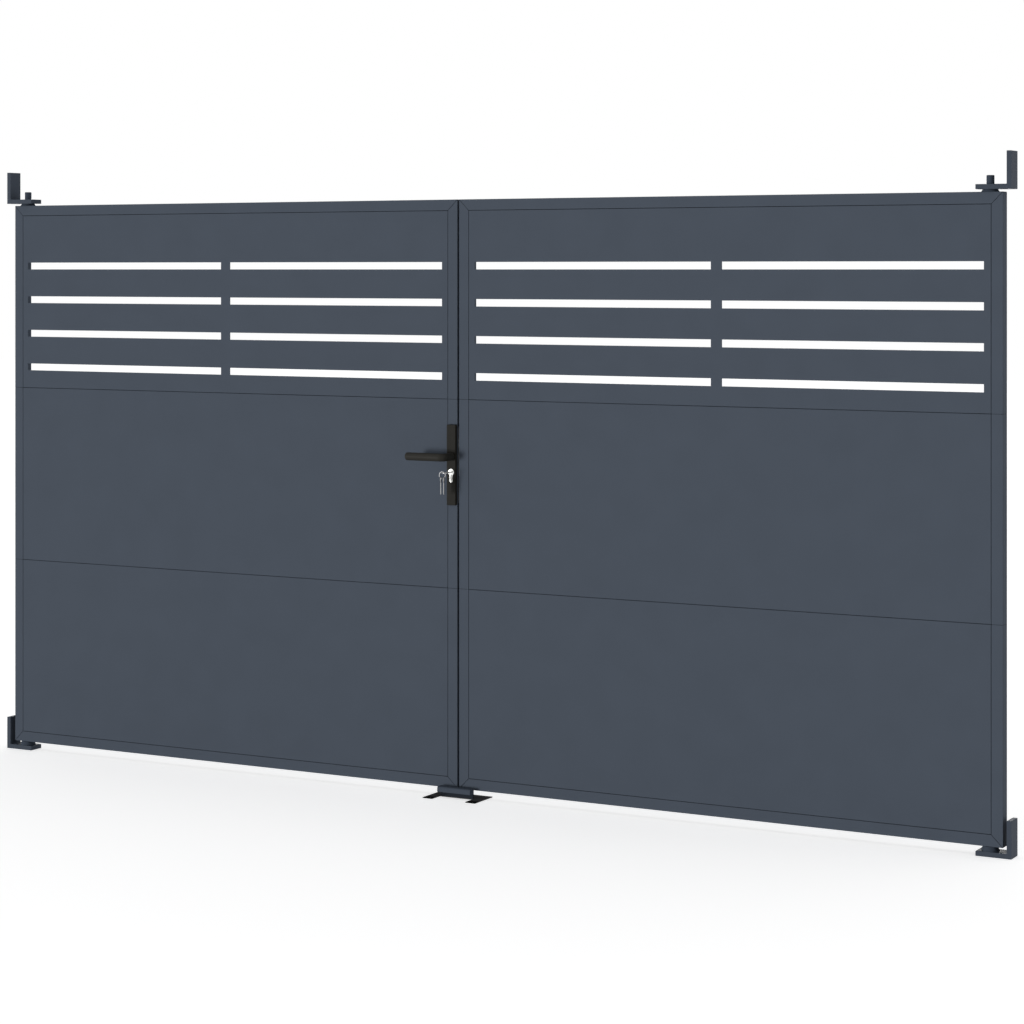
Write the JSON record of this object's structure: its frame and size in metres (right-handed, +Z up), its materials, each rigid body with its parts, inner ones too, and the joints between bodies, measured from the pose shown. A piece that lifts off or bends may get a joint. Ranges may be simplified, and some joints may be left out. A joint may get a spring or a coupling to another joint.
{
  "type": "double swing gate",
  "caption": "Closed-panel double-leaf driveway gate with mitred frames, slotted upper panels, pivot brackets, lever lock and floor stop.",
  "frame": {"origin": "centre of the pillar face of the lower left hinge bracket", "axes": "+X across the opening to the right pillar, +Y the way the leaves open, +Z up"},
  "size_m": [3.5, 0.1752, 1.939],
  "materials": {
    "gate_paint": "fine matt powder coat, anthracite grey",
    "bracket_paint": "matt powder coat, anthracite grey",
    "pivot_steel": "matt dark coat",
    "stop_plate_paint": "matt black coat",
    "stop_paint": "matt powder coat, anthracite grey",
    "black_coat": "satin black coat",
    "zinc_steel": "zinc plated",
    "key_steel": "dull nickel plate",
    "nickel": "satin nickel plate"
  },
  "bodies": {
    "fixings": {"left_lower_bracket": "bracket_paint", "left_upper_bracket": "bracket_paint", "left_lower_pin": "pivot_steel", "left_upper_pin": "pivot_steel", "right_lower_bracket": "bracket_paint", "right_upper_bracket": "bracket_paint", "right_lower_pin": "pivot_steel", "right_upper_pin": "pivot_steel", "floor_stop_plate": "stop_plate_paint", "floor_stop_block": "stop_paint"},
    "left_leaf": {"left_hinge_stile": "gate_paint", "left_top_rail": "gate_paint", "left_bottom_rail": "gate_paint", "left_slotted_panel": "gate_paint", "left_middle_panel": "gate_paint", "left_lower_panel": "gate_paint", "left_lower_bush": "pivot_steel", "left_upper_bush": "pivot_steel", "left_lock_stile": "gate_paint", "front_lock_plate": "black_coat", "back_lock_plate": "black_coat", "lock_cylinder": "nickel", "lock_case": "zinc_steel", "latch_bolt": "zinc_steel", "dead_bolt": "zinc_steel", "key": "key_steel"},
    "right_leaf": {"right_hinge_stile": "gate_paint", "right_top_rail": "gate_paint", "right_bottom_rail": "gate_paint", "right_slotted_panel": "gate_paint", "right_middle_panel": "gate_paint", "right_lower_panel": "gate_paint", "right_lower_bush": "pivot_steel", "right_upper_bush": "pivot_steel", "right_meeting_stile": "gate_paint", "strike_plate": "zinc_steel"},
    "lever": {"front_lever": "black_coat", "back_lever": "black_coat", "lever_spindle": "zinc_steel"},
    "key_bunch": {"key_ring": "key_steel", "spare_key_left": "key_steel", "spare_key_right": "key_steel"}
  },
  "joints": [
    {"name": "left_leaf_swing", "type": "hinge", "parent": "fixings", "child": "left_leaf", "pos_m": [0.0685, 0, -0.0255], "axis": [0, 0, 1], "range_deg": [0, 90]},
    {"name": "right_leaf_swing", "type": "hinge", "parent": "fixings", "child": "right_leaf", "pos_m": [3.4315, 0, -0.0255], "axis": [0, 0, -1], "range_deg": [0, 90]},
    {"name": "lever_turn", "type": "hinge", "parent": "left_leaf", "child": "lever", "pos_m": [1.7305, 0, 0.9885], "axis": [0, -1, 0], "range_deg": [0, 45], "stiffness_Nm_per_rad": 1.5, "springref_deg": -28.65},
    {"name": "key_ring_swing", "type": "hinge", "parent": "left_leaf", "child": "key_bunch", "pos_m": [1.7205, -0.063, 0.9412], "axis": [0, 1, 0], "range_deg": [-25, 25]}
  ]
}
